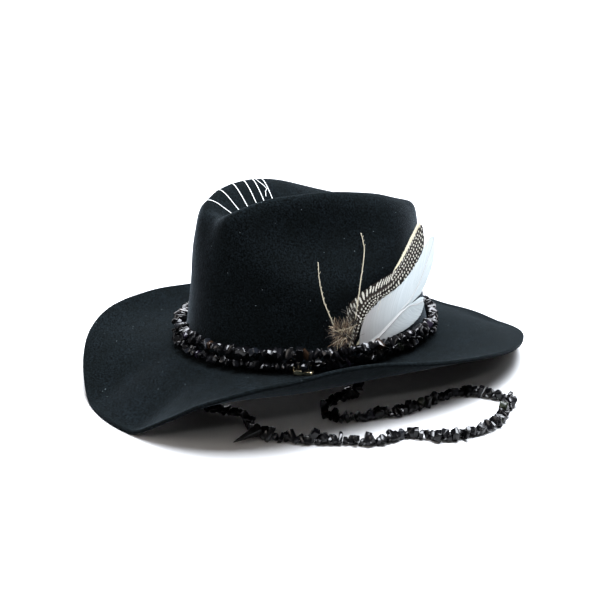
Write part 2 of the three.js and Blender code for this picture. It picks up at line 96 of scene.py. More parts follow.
# %% Camera
AZIMUTH = math.radians(52.0)
ELEVATION = math.radians(17.2)
DISTANCE = 700
AIM_HEIGHT = 60
PIXELS_WIDE = 600
FOCAL_PIXELS = 868.7
SHIFT_PIXELS = (-8.4, -9.0)
FILM_WIDTH = 36
back = Vector((
    math.sin(AZIMUTH) * math.cos(ELEVATION),
    -math.cos(AZIMUTH) * math.cos(ELEVATION),
    math.sin(ELEVATION)))
camera_data = bpy.data.cameras.new("camera")
camera_data.sensor_width = FILM_WIDTH
camera_data.lens = FILM_WIDTH * FOCAL_PIXELS / PIXELS_WIDE
camera_data.shift_x = SHIFT_PIXELS[0] / PIXELS_WIDE
camera_data.shift_y = SHIFT_PIXELS[1] / PIXELS_WIDE
camera = bpy.data.objects.new("camera", camera_data)
scene.collection.objects.link(camera)
camera.location = in_frame(Vector((0, 0, AIM_HEIGHT)) + back * DISTANCE)
camera.rotation_euler = back.to_track_quat("Z", "Y").to_euler()
scene.camera = camera
print("lens, millimetres:", round(camera_data.lens, 1))

# %% [markdown]
# ## Helpers for materials
#
# One function turns a colour as picked on a screen into the linear light that the renderer
# works in. One adds a node to a material, sets it and joins its inputs.


# %% Material helpers
def colour(hex_code):
    """Linear colour of an sRGB hex value."""
    channels = [int(hex_code[n:n + 2], 16) / 255 for n in (0, 2, 4)]
    linear = [c / 12.92 if c <= 0.04045 else ((c + 0.055) / 1.055) ** 2.4 for c in channels]
    return (*linear, 1.0)


def new_material(name):
    """A material with only its shader left, ready for more nodes."""
    material = bpy.data.materials.new(name)
    material.use_nodes = True
    return material, material.node_tree.nodes["Principled BSDF"]


def add_node(material, kind, inputs=None, **settings):
    """A node with its settings, and its inputs set to values or joined to outputs."""
    node = material.node_tree.nodes.new(kind)
    for name, value in settings.items():
        setattr(node, name, value)
    for name, value in (inputs or {}).items():
        if isinstance(value, bpy.types.NodeSocket):
            material.node_tree.links.new(value, node.inputs[name])
        else:
            node.inputs[name].default_value = value
    return node


def join(material, output, target):
    material.node_tree.links.new(output, target)


# %% [markdown]
# ## The studio
#
# The table in the picture is pure white. A white one throws light up under the brim, which
# the photograph keeps dark, so it is painted pale grey and the broad light overhead is
# strong. A second one behind keeps the background white, and a lit wall closes the view. A
# weak light in front fills the crown, and two small lamps make the sharp glints on the
# stone. None of it is part of the hat. Places and sizes here are metres.

# %% Studio
TABLE_SIZE = 12
WALL_SIZE = (4, 1.2, 1)
WALL_AWAY = 1.9
WALL_MIDDLE = 0.55
WALL_GLOW = 1.25
AIR_GLOW = 0.13
LIGHTS_AIM = 0.08
bpy.ops.object.select_all(action="DESELECT")
bpy.ops.mesh.primitive_plane_add(size=TABLE_SIZE)
table = bpy.context.object
table.name = "table"
bpy.ops.mesh.primitive_plane_add(size=1)
wall = bpy.context.object
wall.name = "wall"
wall.scale = WALL_SIZE
wall.rotation_euler = (math.pi / 2, 0, AZIMUTH)
wall.location = (-back.x * WALL_AWAY, -back.y * WALL_AWAY, WALL_MIDDLE)
pale_table, shader = new_material("pale_painted_table")
shader.inputs["Base Color"].default_value = colour("aaaaaa")
shader.inputs["Roughness"].default_value = 0.6
table.data.materials.append(pale_table)
white_wall, shader = new_material("lit_white_wall")
shader.inputs["Base Color"].default_value = colour("ffffff")
shader.inputs["Emission Color"].default_value = colour("ffffff")
shader.inputs["Emission Strength"].default_value = WALL_GLOW
wall.data.materials.append(white_wall)

world = bpy.data.worlds.new("studio_air")
scene.world = world
world.use_nodes = True
world.node_tree.nodes["Background"].inputs["Color"].default_value = colour("f2eeea")
world.node_tree.nodes["Background"].inputs["Strength"].default_value = AIR_GLOW


def soft_light(name, place, size, power, tint):
    """A square soft box that faces the hat."""
    data = bpy.data.lights.new(name, "AREA")
    data.size = size
    data.energy = power
    data.color = colour(tint)[:3]
    light = bpy.data.objects.new(name, data)
    scene.collection.objects.link(light)
    light.location = place
    towards = Vector(place) - Vector((0, 0, LIGHTS_AIM))
    light.rotation_euler = towards.to_track_quat("Z", "Y").to_euler()
    return light


# Name, place, size, power in watts and tint of each light.
LIGHTS = (
    ("overhead", (0.08, 0.12, 1.3), 0.95, 112, "f2f7ff"),
    ("background", (-back.x * 1.5, -back.y * 1.5, 1.25), 1.2, 60, "f2f7ff"),
    ("front", (0, -1.45, 1.1), 0.9, 12, "fff6ee"),
    ("glint_left", (-0.7, -1.3, 1.3), 0.12, 3, "ffffff"),
    ("glint_right", (1.3, -0.6, 1.2), 0.12, 3, "ffffff"),
)
for light_row in LIGHTS:
    soft_light(*light_row)
print("lights:", [light.name for light in bpy.data.lights])

# %% [markdown]
# ## The shape of the felt
#
# Real felt is a cone of wool that is steamed and pressed over a wooden block. The block's
# shape is written down here as short tables: the brim's edge round the head, sections of the
# brim and of the crown's wall, the ridge round the top, and the crease between the ridges.
# A table gives a few values, and a smooth curve runs through them without overshoot.

# %% Tables of the block
# turn is the angle round the head from the front, in degrees. front and back are shares of
# the way from the side's width to the width there. lift is the edge's share of SIDE_LIFT, and
# roll its share of LEFT_ROLL, because the left edge is rolled up a little tighter.
BRIM_EDGE = {
    "turn": (0, 9, 20, 30, 45, 60, 76, 90, 110, 130, 150, 165, 172, 180),
    "front": (1, 1, 1, 0.97, 0.72, 0.26, 0, 0, 0, 0, 0, 0, 0, 0),
    "back": (0, 0, 0, 0, 0, 0, 0, 0.07, 0.27, 0.52, 0.75, 0.9, 0.97, 1),
    "lift": (0, 0, 0.33, 0.67, 0.94, 1, 0.93, 0.85, 0.73, 0.55, 0.32, 0.09, 0, 0),
    "roll": (0, 0, 0.3, 0.75, 0.95, 1, 0.85, 0.55, 0.25, 0, 0, 0, 0, 0),
}
# dip is the share of the way down to the edge where the brim dips, curl where it rolls up, and
# rim is the tighter roll near the left edge.
BRIM_SECTION = {
    "out": (0, 0.2, 0.42, 0.62, 0.8, 0.93, 1),
    "dip": (0, 0.13, 0.36, 0.63, 0.88, 1, 1),
    "curl": (0, 0, 0.07, 0.25, 0.54, 0.83, 1),
    "rim": (0, 0, 0, 0.04, 0.34, 0.73, 1),
}
# taper is what is left of the head oval, plain and pinched are shares of the way in to the
# ridge, away from the front dents and in them.
WALL_SECTION = {
    "up": (0, 0.07, 0.2, 0.35, 0.45, 0.54, 0.62, 0.7, 0.79, 0.88, 0.94, 0.98, 1),
    "taper": (1, 0.985, 0.965, 0.945, 0.935, 0.93, 0.925, 0.92, 0.915, 0.91, 0.91, 0.91, 0.91),
    "plain": (0, 0, 0, 0.01, 0.02, 0.04, 0.07, 0.12, 0.21, 0.36, 0.54, 0.77, 1),
    "pinched": (0, 0, 0, 0, 0.04, 0.24, 0.47, 0.68, 0.78, 0.83, 0.88, 0.95, 1),
}
# reach is a share of HALF_LENGTH, left and right are shares of CROWN_HEIGHT. pinch is how
# deep the side dent is below that place of the ridge, and lip how far up its lower edge is.
RIDGE_LINE = {
    "turn": (0, 10, 17, 24, 32, 46, 61, 80, 99, 118, 137, 150, 165, 180),
    "reach": (0.83, 0.845, 0.81, 0.75, 0.68, 0.585, 0.525, 0.485, 0.505, 0.57, 0.69, 0.79, 0.85, 0.865),
    "left": (0.84, 0.88, 0.92, 0.955, 0.98, 0.99, 0.995, 0.985, 0.968, 0.942, 0.887, 0.845, 0.79, 0.767),
    "right": (0.84, 0.86, 0.89, 0.915, 0.945, 0.965, 0.97, 0.96, 0.935, 0.89, 0.83, 0.79, 0.77, 0.765),
    "pinch": (0, 0, 0, 0.4, 0.92, 1, 1, 0.92, 0.6, 0.15, 0, 0, 0, 0),
    "lip": (0.8, 0.8, 0.8, 0.74, 0.62, 0.5, 0.455, 0.45, 0.56, 0.66, 0.7, 0.7, 0.7, 0.7),
}
DENT_LIP = 0.45
TOP_SECTION = {
    "in": (0, 0.1, 0.25, 0.45, 0.65, 0.84, 1),
    "drop": (0, 0.02, 0.13, 0.42, 0.73, 0.95, 1),
}
CREASE = {
    "turn": (0, 30, 60, 90, 130, 180),
    "along": (-0.56, -0.46, -0.26, 0, 0.32, 0.5),
    "floor": (0.8, 0.765, 0.73, 0.715, 0.715, 0.725),
}


def smooth(table, key, column, at):
    """Value of a table's column, on a curve that never overshoots its rows."""
    keys, values = table[key], table[column]
    if at <= keys[0]:
        return values[0]
    if at >= keys[-1]:
        return values[-1]
    i = max(n for n in range(len(keys) - 1) if keys[n] <= at)

    def slope(n):
        return (values[n + 1] - values[n]) / (keys[n + 1] - keys[n])

    def bend(n):
        if n == 0 or n == len(keys) - 1:
            return 0
        before, after = slope(n - 1), slope(n)
        return 0 if before * after <= 0 else 2 * before * after / (before + after)

    span = keys[i + 1] - keys[i]
    t = (at - keys[i]) / span
    ease = t * t * (3 - 2 * t)
    curve = bend(i) * t * (1 - t) ** 2 - bend(i + 1) * t * t * (1 - t)
    return values[i] + (values[i + 1] - values[i]) * ease + span * curve


print("tables of the block: rows", len(BRIM_EDGE["turn"]), len(WALL_SECTION["up"]), len(RIDGE_LINE["turn"]))


# %% Places on the block
def mix(start, end, share):
    return start + (end - start) * share


def turn_of(angle):
    return abs(round((angle + 540) % 360 - 180, 6))


def on_left(angle):
    return (angle + 360) % 360 < 180


def side_and_front(angle):
    return math.sin(math.radians(angle)), math.cos(math.radians(angle))


def head_reach(angle):
    """Distance from the middle to the head oval."""
    side, front = side_and_front(angle)
    return 1 / math.hypot(side / HALF_WIDTH, front / HALF_LENGTH)


def spot(angle, reach, height):
    side, front = side_and_front(angle)
    return Vector((side * reach, -front * reach, height))


def brim_spot(angle, out):
    turn = turn_of(angle)
    front = (BRIM_FRONT - BRIM_SIDE) * smooth(BRIM_EDGE, "turn", "front", turn)
    rear = (BRIM_BACK - BRIM_SIDE) * smooth(BRIM_EDGE, "turn", "back", turn)
    lift = smooth(BRIM_EDGE, "turn", "lift", turn)
    dip, curl = smooth(BRIM_SECTION, "out", "dip", out), smooth(BRIM_SECTION, "out", "curl", out)
    reach = head_reach(angle) + FOOT_CURVE + (BRIM_SIDE + front + rear - FOOT_CURVE) * out
    height = mix(FOOT_HEIGHT, FELT + SIDE_LIFT * lift, mix(dip, curl, lift))
    if on_left(angle):
        roll, rim = smooth(BRIM_EDGE, "turn", "roll", turn), smooth(BRIM_SECTION, "out", "rim", out)
        height += LEFT_ROLL * roll * rim
    return spot(angle, reach, height)


def foot_spot(angle, share):
    """On the small curve where the brim turns up into the wall."""
    bend = math.radians(90 * share)
    out, up = FOOT_CURVE * (1 - math.sin(bend)), FOOT_CURVE * (1 - math.cos(bend))
    return spot(angle, head_reach(angle) + out, FOOT_HEIGHT + up)


def ridge_spot(angle):
    turn = turn_of(angle)
    side = "left" if on_left(angle) else "right"
    height = FOOT_HEIGHT + CROWN_HEIGHT * smooth(RIDGE_LINE, "turn", side, turn)
    return spot(angle, HALF_LENGTH * smooth(RIDGE_LINE, "turn", "reach", turn), height)


def wall_spot(angle, up):
    pinch = smooth(RIDGE_LINE, "turn", "pinch", turn_of(angle))
    ridge = ridge_spot(angle)
    reach = head_reach(angle) * smooth(WALL_SECTION, "up", "taper", up)
    place = spot(angle, reach, mix(FOOT_HEIGHT + FOOT_CURVE, ridge.z, up))
    lip = smooth(RIDGE_LINE, "turn", "lip", turn_of(angle))
    dent_up = up * DENT_LIP / lip if up < lip else 1 - (1 - up) * (1 - DENT_LIP) / (1 - lip)
    plain = smooth(WALL_SECTION, "up", "plain", up)
    inward = mix(plain, smooth(WALL_SECTION, "up", "pinched", dent_up), pinch)
    return Vector((mix(place.x, ridge.x, inward), mix(place.y, ridge.y, inward), place.z))


def top_spot(angle, inward):
    turn = turn_of(angle)
    ridge = ridge_spot(angle)
    y = HALF_LENGTH * smooth(CREASE, "turn", "along", turn)
    z = FOOT_HEIGHT + CROWN_HEIGHT * smooth(CREASE, "turn", "floor", turn)
    drop = smooth(TOP_SECTION, "in", "drop", inward)
    return Vector((mix(ridge.x, 0, inward), mix(ridge.y, y, inward), mix(ridge.z, z, drop)))


print("ridge over the left side, millimetres:", [round(value, 1) for value in ridge_spot(80)])

# %% [markdown]
# ## Pressing the felt
#
# The felt could be sculpted, or built as a spun profile, but a hat is neither free nor round.
# So a flat grid is the hood: its columns run round the head and its rows from the brim's edge
# to the crease, and each vertex is pressed to its place on the block. Wet wool can't follow a
# sharp ridge, so the crown is evened out, and then brought back to its full height. Solidify
# gives the wool its thickness, and a subdivision rounds it, but the cut edge keeps a crease,
# because felt is cut square with only a soft corner.

# %% Felt sheet
COLUMNS = 144
BRIM_ROWS, FOOT_ROWS, WALL_ROWS, TOP_ROWS = 16, 3, 30, 16


def block_spot(angle, row):
    """Place of a row of the sheet: brim first, then foot, wall and top."""
    if row <= BRIM_ROWS:
        return brim_spot(angle, 1 - row / BRIM_ROWS)
    row -= BRIM_ROWS
    if row <= FOOT_ROWS:
        return foot_spot(angle, row / FOOT_ROWS)
    row -= FOOT_ROWS
    if row <= WALL_ROWS:
        return wall_spot(angle, row / WALL_ROWS)
    return top_spot(angle, (row - WALL_ROWS) / TOP_ROWS)


# Rows from EASE_ROW inwards are evened out, and EASE_SPREAD rows either side of the ridge
# share in bringing it back to its height.
RIDGE_ROW = BRIM_ROWS + FOOT_ROWS + WALL_ROWS
ROWS = RIDGE_ROW + TOP_ROWS
EASE_ROW = RIDGE_ROW - 22
EASE_ROUNDS = 6
EASE_SPREAD = 7
SEAM_MERGE = 0.00002


def eased(places):
    """The wet wool evens out: over and over, each place moves halfway to its neighbours' middle."""
    for _ in range(EASE_ROUNDS):
        places = [
            row if n < EASE_ROW or n == ROWS else [
                (here + (row[c - 1] + row[(c + 1) % COLUMNS] + places[n - 1][c] + places[n + 1][c]) / 4) / 2
                for c, here in enumerate(row)]
            for n, row in enumerate(places)]
    return places


pressed = [[block_spot(360 * c / COLUMNS, row) for c in range(COLUMNS)] for row in range(ROWS + 1)]
places = eased(pressed)
for c in range(COLUMNS):
    lost = pressed[RIDGE_ROW][c] - places[RIDGE_ROW][c]
    for n in range(EASE_ROW, ROWS):
        places[n][c] = places[n][c] + lost * math.exp(-((n - RIDGE_ROW) / EASE_SPREAD) ** 2)

bpy.ops.object.select_all(action="DESELECT")
bpy.ops.mesh.primitive_grid_add(x_subdivisions=COLUMNS, y_subdivisions=ROWS, size=2)
felt = bpy.context.object
felt.name = "wool_felt"
for vertex in felt.data.vertices:
    column = round((vertex.co.x + 1) / 2 * COLUMNS) % COLUMNS
    row = round((vertex.co.y + 1) / 2 * ROWS)
    vertex.co = in_frame(places[row][column])

bpy.ops.object.mode_set(mode="EDIT")
bpy.ops.mesh.select_all(action="SELECT")
bpy.ops.mesh.remove_doubles(threshold=SEAM_MERGE)
bpy.ops.mesh.normals_make_consistent(inside=False)
bpy.ops.object.mode_set(mode="OBJECT")
print("felt sheet:", len(felt.data.vertices), "vertices")

# %% Felt thickness and finish
CROWN_FROM = 0.08
EDGE_CREASE = 0.7
side_face = max(felt.data.polygons, key=lambda face: face.center.x if face.center.z > CROWN_FROM else -1)
if side_face.normal.x < 0:
    felt.data.flip_normals()
thickness = felt.modifiers.new("thickness", "SOLIDIFY")
thickness.thickness = FELT * MM
thickness.offset = -1
thickness.edge_crease_outer = EDGE_CREASE
thickness.edge_crease_inner = EDGE_CREASE
rounding = felt.modifiers.new("rounding", "SUBSURF")
rounding.levels = 1
rounding.render_levels = 1
for name in ("thickness", "rounding"):
    bpy.ops.object.modifier_apply(modifier=name)
for vertex in felt.data.vertices:
    vertex.co.z = max(vertex.co.z, 0)
bpy.ops.object.shade_smooth()
print("felt:", len(felt.data.polygons), "faces")

# %% [markdown]
# ## Pressed wool felt
#
# Felt has no weave. Its surface is a mat of short fibres, so it is very rough, it scatters
# light softly along its edges, and it is slightly mottled. Fine fibres are thinner than a
# pixel, so they are drawn about a millimetre coarse. A little pale lint clings to it.

# %% Felt material
FIBRE, MOTTLE, LINT_CELL = 1.2, 14, 3
LINT_RADIUS, LINT_SHARE = 0.13, 0.035
FIBRE_HEIGHT = 0.6
black_felt, shader = new_material("black_pressed_wool_felt")
coordinates = add_node(black_felt, "ShaderNodeTexCoord")
place = coordinates.outputs["Object"]
grain = add_node(
    black_felt, "ShaderNodeTexNoise",
    {"Vector": place, "Scale": 1 / (FIBRE * MM), "Detail": 2.0, "Roughness": 0.7})
mottle = add_node(
    black_felt, "ShaderNodeTexNoise",
    {"Vector": place, "Scale": 1 / (MOTTLE * MM), "Detail": 2.0})
grain_ramp = add_node(black_felt, "ShaderNodeValToRGB", {"Fac": grain.outputs["Fac"]})
grain_ramp.color_ramp.elements[0].position = 0.4
grain_ramp.color_ramp.elements[0].color = colour("020202")
grain_ramp.color_ramp.elements[1].position = 0.62
grain_ramp.color_ramp.elements[1].color = colour("12171a")
mottle_mix = add_node(
    black_felt, "ShaderNodeMix",
    {"Factor": mottle.outputs["Fac"], "A": grain_ramp.outputs["Color"], "B": colour("070909")},
    data_type="RGBA")
lint_cells = add_node(black_felt, "ShaderNodeTexVoronoi", {"Vector": place, "Scale": 1 / (LINT_CELL * MM)})
lint_near = add_node(
    black_felt, "ShaderNodeMath", {0: lint_cells.outputs["Distance"], 1: LINT_RADIUS}, operation="LESS_THAN")
lint_pick = add_node(black_felt, "ShaderNodeSeparateColor", {"Color": lint_cells.outputs["Color"]})
lint_few = add_node(
    black_felt, "ShaderNodeMath", {0: lint_pick.outputs["Red"], 1: LINT_SHARE}, operation="LESS_THAN")
lint = add_node(
    black_felt, "ShaderNodeMath", {0: lint_near.outputs[0], 1: lint_few.outputs[0]}, operation="MULTIPLY")
felt_colour = add_node(
    black_felt, "ShaderNodeMix",
    {"Factor": lint.outputs[0], "A": mottle_mix.outputs["Result"], "B": colour("3c4244")},
    data_type="RGBA")
bump = add_node(
    black_felt, "ShaderNodeBump",
    {"Height": grain.outputs["Fac"], "Distance": FIBRE_HEIGHT * MM, "Strength": 0.8})
join(black_felt, felt_colour.outputs["Result"], shader.inputs["Base Color"])
join(black_felt, bump.outputs["Normal"], shader.inputs["Normal"])
shader.inputs["Roughness"].default_value = 0.95
shader.inputs["Specular IOR Level"].default_value = 0.0
shader.inputs["Sheen Weight"].default_value = 0.14
shader.inputs["Sheen Roughness"].default_value = 0.3
shader.inputs["Sheen Tint"].default_value = colour("b9c6d0")
felt.data.materials.clear()
felt.data.materials.append(black_felt)
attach(felt, "root")
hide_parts("felt_body")
print("felt material nodes:", len(black_felt.node_tree.nodes))

# %% [markdown]
# ## White threads
#
# Six long stitches of white thread lie over the ridge on the wearer's right, and a seventh
# has come loose. A stitch is a thin rod along a line. Its line is drawn on the block and then
# laid onto the felt, by asking the felt for its nearest place.


# %% Rods
def skin(faces, start, rings, sides):
    """Adds the faces between rings of points that follow each other, and closes both ends."""
    for n in range(rings - 1):
        a, b = start + sides * n, start + sides * (n + 1)
        for k in range(sides):
            faces.append((a + k, a + (k + 1) % sides, b + (k + 1) % sides, b + k))
    last = start + sides * (rings - 1)
    faces.append(tuple(start + k for k in reversed(range(sides))))
    faces.append(tuple(last + k for k in range(sides)))


def rod(points, faces, line, radii, sides=6):
    """Adds a round rod along a line of places."""
    start = len(points)
    for n, (place, radius) in enumerate(zip(line, radii)):
        along = (line[min(n + 1, len(line) - 1)] - line[max(n - 1, 0)]).normalized()
        across = along.orthogonal() if n == 0 else across - along * across.dot(along)
        across = across.normalized()
        up = along.cross(across)
        for k in range(sides):
            angle = math.tau * k / sides
            points.append(place + (across * math.cos(angle) + up * math.sin(angle)) * radius)
    skin(faces, start, len(line), sides)


def add_mesh(name, points, faces):
    """A new object from points in the hat's millimetres."""
    mesh = bpy.data.meshes.new(name)
    mesh.from_pydata([in_frame(point) for point in points], [], faces)
    mesh.update()
    piece = bpy.data.objects.new(name, mesh)
    scene.collection.objects.link(piece)
    return piece


# %% White threads
THREAD_RADIUS = 0.26
LOOSE_RADIUS = 0.8 * THREAD_RADIUS
LOOSE_LIFT = 0.4
STITCH_TURNS = (-20.5, -31.7, -44.3, -56.3, -66.3, -76.7)
# Shares of the way up the wall and down into the crease, and how much the line slants there.
OVER_RIDGE = (0.9, 0.94, 0.98)
INTO_CREASE = [n / 16 for n in range(12)]
CREASE_SLANT = 150 / 16
# The loose one, as turns and shares of the way in.
LOOSE_THREAD = ((-66, 0.0), (-68, 0.12), (-71, 0.3), (-72, 0.36), (-69, 0.4), (-67, 0.47))


def on_felt(place, lift=4):
    """Nearest place on the felt's outer face, one thread's radius up."""
    found, nearest, normal, _ = felt.closest_point_on_mesh(in_frame(place + Vector((0, 0, lift))))
    return (nearest - HAT) / MM + normal * THREAD_RADIUS


points, faces = [], []
for turn in STITCH_TURNS:
    line = [wall_spot(turn, up) for up in OVER_RIDGE]
    line += [top_spot(turn * (1 - inward / CREASE_SLANT), inward) for inward in INTO_CREASE]
    rod(points, faces, [on_felt(place) for place in line], [THREAD_RADIUS] * len(line))
loose = [on_felt(top_spot(turn, inward)) + Vector((0, 0, LOOSE_LIFT)) for turn, inward in LOOSE_THREAD]
rod(points, faces, loose, [LOOSE_RADIUS] * len(loose))
threads = add_mesh("white_stitches", points, faces)
white_thread, shader = new_material("white_cotton_thread")
shader.inputs["Base Color"].default_value = colour("d5d8d5")
shader.inputs["Roughness"].default_value = 0.7
threads.data.materials.append(white_thread)
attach(threads, "root")
print("stitches:", len(STITCH_TURNS), "and a loose one,", len(threads.data.polygons), "faces")

# %% [markdown]
# ## One rough chip
#
# The band is strung from tumbled slivers of black stone. A lump could be sculpted, but a real
# chip is a broken slab, so random planes cut the corners off a box and a narrow bevel stands
# for the tumbling. A few chips are made once and copied along every strand. They are modelled
# in millimetres, where the tools are exact.


# %% Chip forms
CHIP_THICK, CHIP_WIDE, CHIP_DEEP = (2.2, 5.6), (6.4, 10.4), (4.2, 6.6)
CHIP_FORMS = 16
CHIP_CUTS, CHIP_SOFTEN = 7, 0.3
CUT_DEPTH = (0.6, 0.78)
TINY_EDGE = 0.2


def taken_apart(piece, shift):
    """A modelled piece's points, moved by the shift, and its faces; the piece itself goes."""
    points = [vertex.co + shift for vertex in piece.data.vertices]
    faces = [tuple(face.vertices) for face in piece.data.polygons]
    bpy.data.objects.remove(piece)
    return points, faces


def cut_stone(seed, size, cuts, soften):
    """Points and faces of a slab of the given size with its corners cut off and softened."""
    chance = random.Random(seed)
    bpy.ops.object.select_all(action="DESELECT")
    bpy.ops.mesh.primitive_cube_add(size=1)
    stone = bpy.context.object
    stone.scale = size
    bpy.ops.object.transform_apply(location=False, rotation=False, scale=True)
    bpy.ops.object.mode_set(mode="EDIT")
    for _ in range(cuts):
        heading = Vector([chance.uniform(-1, 1) for _ in range(3)]).normalized()
        corner = Vector([math.copysign(side / 2, part) for side, part in zip(size, heading)])
        bpy.ops.mesh.select_all(action="SELECT")
        bpy.ops.mesh.bisect(
            plane_co=heading * heading.dot(corner) * chance.uniform(*CUT_DEPTH), plane_no=heading,
            use_fill=True, clear_outer=True, threshold=0.0001)
    bpy.ops.mesh.select_all(action="SELECT")
    bpy.ops.mesh.remove_doubles(threshold=TINY_EDGE)
    bpy.ops.mesh.bevel(offset=soften, segments=2, affect="EDGES")
    bpy.ops.mesh.normals_make_consistent(inside=False)
    bpy.ops.object.mode_set(mode="OBJECT")
    return taken_apart(stone, Vector())


chip_forms = []
for seed in range(CHIP_FORMS):
    chance = random.Random(seed)
    size = [chance.uniform(*limits) for limits in (CHIP_THICK, CHIP_WIDE, CHIP_DEEP)]
    chip_forms.append(cut_stone(seed, size, CHIP_CUTS, CHIP_SOFTEN))
print("faces of each chip form:", [len(faces) for _, faces in chip_forms])

# %% [markdown]
# ## Stringing the chips
#
# Each strand follows the route that the frame gives it. Along the route every chip is turned
# at random about the thread and leans a little, because the holes are drilled anyhow. A chip
# on the table is let down until it touches.


# %% Routes
def smooth_route(places, closed, steps=24):
    """Points along a smooth curve through the given places, as a thread would lie."""
    count = len(places)
    route = []
    spans = count if closed else count - 1
    for n in range(spans):
        if closed:
            a, b, c, d = (places[(n + k) % count] for k in (-1, 0, 1, 2))
        else:
            b, c = places[n], places[n + 1]
            a = places[n - 1] if n > 0 else b * 2 - c
            d = places[n + 2] if n + 2 < count else c * 2 - b
        ab, bc, cd = ((q - p).length ** 0.5 for p, q in ((a, b), (b, c), (c, d)))
        start = ((b - a) / ab - (c - a) / (ab + bc) + (c - b) / bc) * bc
        end = ((c - b) / bc - (d - b) / (bc + cd) + (d - c) / cd) * bc
        for k in range(steps):
            t = k / steps
            route.append(
                b * (2 * t ** 3 - 3 * t ** 2 + 1) + start * (t ** 3 - 2 * t ** 2 + t)
                + c * (3 * t ** 2 - 2 * t ** 3) + end * (t ** 3 - t ** 2))
    route.append(places[0] if closed else places[-1])
    return route


def lengths_along(route):
    """How far along the route each of its places is."""
    lengths = [0]
    for before, after in zip(route, route[1:]):
        lengths.append(lengths[-1] + (after - before).length)
    return lengths


def walk(route, pitch):
    """Places and headings at an even pitch along a route."""
    lengths = lengths_along(route)
    count = round(lengths[-1] / pitch)
    stops, at = [], 0
    for n in range(count):
        want = lengths[-1] * (n + 0.5) / count
        while lengths[at + 1] < want:
            at += 1
        share = (want - lengths[at]) / (lengths[at + 1] - lengths[at])
        step = route[at + 1] - route[at]
        stops.append((route[at] + step * share, step.normalized()))
    return stops


# A common chip is 8.2 by 5.4 mm across its thread, so its corners reach half the diagonal.
CHIP_REACH = math.hypot(8.2, 5.4) / 2
GAP = 0.3
LAYER = 1.2
LOWER_STRAND = CHIP_REACH + 4 * GAP
UPPER_STRAND = LOWER_STRAND + 2 * CHIP_REACH - 3 * GAP
FEATHER_STACK = 4 * LAYER + GAP
# Where the upper strand stands out over the feathers, and where both strands sag at the back.
STACK = {"y": (-80, -50, 40, 80), "share": (0, 1, 1, 0)}
SAG = {"turn": (110, 145, 180), "share": (0, 1, 1)}
BACK_SAG = 4.5
BAND_STEP = 10


def band_route(height, over_feathers):
    """Route round the crown's foot; the upper strand stands out over the feathers."""
    places = []
    for angle in range(0, 360, BAND_STEP):
        wall = wall_spot(angle, max(0, (height - FOOT_CURVE) / (CROWN_HEIGHT - FOOT_CURVE)))
        outward = Vector((wall.x / HALF_WIDTH ** 2, wall.y / HALF_LENGTH ** 2, 0)).normalized()
        stack = smooth(STACK, "y", "share", wall.y) * over_feathers if angle < 180 else 0
        place = wall + outward * (CHIP_REACH + GAP + stack)
        sag = BACK_SAG * smooth(SAG, "turn", "share", turn_of(angle))
        place.z = FOOT_HEIGHT + height - (sag if height > LOWER_STRAND else sag / 4)
        places.append(place)
    return smooth_route(places, True)


# The chin strand runs from the left knot inside the crown, over the table, and the plain way
# back below the brim's front to the right knot.
ON_TABLE = CHIP_REACH
KNOT_REACH = wall_spot(90, 0).x - FELT - GAP - 3
KNOT_HEIGHT = 36
CHIN_ON_TABLE = [
    (81, -19), (79, -34), (82, -48), (92, -56), (105, -54), (114, -39), (122, -18), (125, 6),
    (123, 32), (129, 51), (145, 60), (158, 66), (166, 48), (177, 28), (178, 11), (172, -14),
    (152, -33), (147, -56), (131, -74), (114, -95), (93, -112), (78, -111), (61, -104),
    (32, -117), (-5, -122), (-41, -114), (-72, -89), (-86, -54), (-81, -24),
]
CHIN_PLACES = [
    (KNOT_REACH, 0, KNOT_HEIGHT), (76, -9, 20), *((x, y, ON_TABLE) for x, y in CHIN_ON_TABLE),
    (-76, -9, 20), (-KNOT_REACH, 0, KNOT_HEIGHT),
]
routes = {
    "band_strand_lower": band_route(LOWER_STRAND, 0),
    "band_strand_upper": band_route(UPPER_STRAND, FEATHER_STACK),
    "chin_strand": smooth_route([Vector(place) for place in CHIN_PLACES], False),
}
for name, route in routes.items():
    print(name, "is", round(lengths_along(route)[-1]), "mm long")


# %% Strands
CHIP_PITCH = 3.6
CHIP_LEAN = 24
CHIP_SCALE = (0.75, 1.1)
CHIP_SHIFT = 1.2
TABLE_CLEAR = 0.05


def string_chips(name, route, seed):
    chance = random.Random(seed)
    points, faces, tints = [], [], []
    for place, heading in walk(route, CHIP_PITCH):
        form_points, form_faces = chance.choice(chip_forms)
        across = heading.cross(Vector((0, 0, 1))).normalized()
        turned = Matrix.Rotation(chance.uniform(0, math.tau), 3, heading)
        lean = Matrix.Rotation(math.radians(chance.gauss(0, CHIP_LEAN)), 3, across)
        frame_axes = Matrix((heading, across, heading.cross(across))).transposed()
        size = chance.uniform(*CHIP_SCALE)
        shift = across * chance.uniform(-CHIP_SHIFT, CHIP_SHIFT)
        chip = [place + shift + lean @ turned @ frame_axes @ (point * size) for point in form_points]
        lowest = min(point.z for point in chip)
        if lowest < TABLE_CLEAR or place.z < CHIP_REACH + GAP:
            chip = [point - Vector((0, 0, lowest - TABLE_CLEAR)) for point in chip]
        start = len(points)
        points += chip
        faces += [tuple(start + n for n in face) for face in form_faces]
        tints += [chance.random()] * len(chip)
    strand = add_mesh(name, points, faces)
    tint = strand.data.attributes.new("tint", "FLOAT", "POINT")
    tint.data.foreach_set("value", tints)
    return strand


chip_strands = {
    name: string_chips("chips_" + name, route, seed)
    for seed, (name, route) in enumerate(routes.items())
}
for name, strand in chip_strands.items():
    print(name, len(strand.data.polygons), "faces")

# %% [markdown]
# ## Polished black stone
#
# The chips are a glassy stone, tumbled to a shine. Almost all are black; now and then one is
# dark brown, olive or purple, so each carries its own number and a stepped ramp picks the
# colour. The gloss is high, with a trace of unevenness left from the breaking.

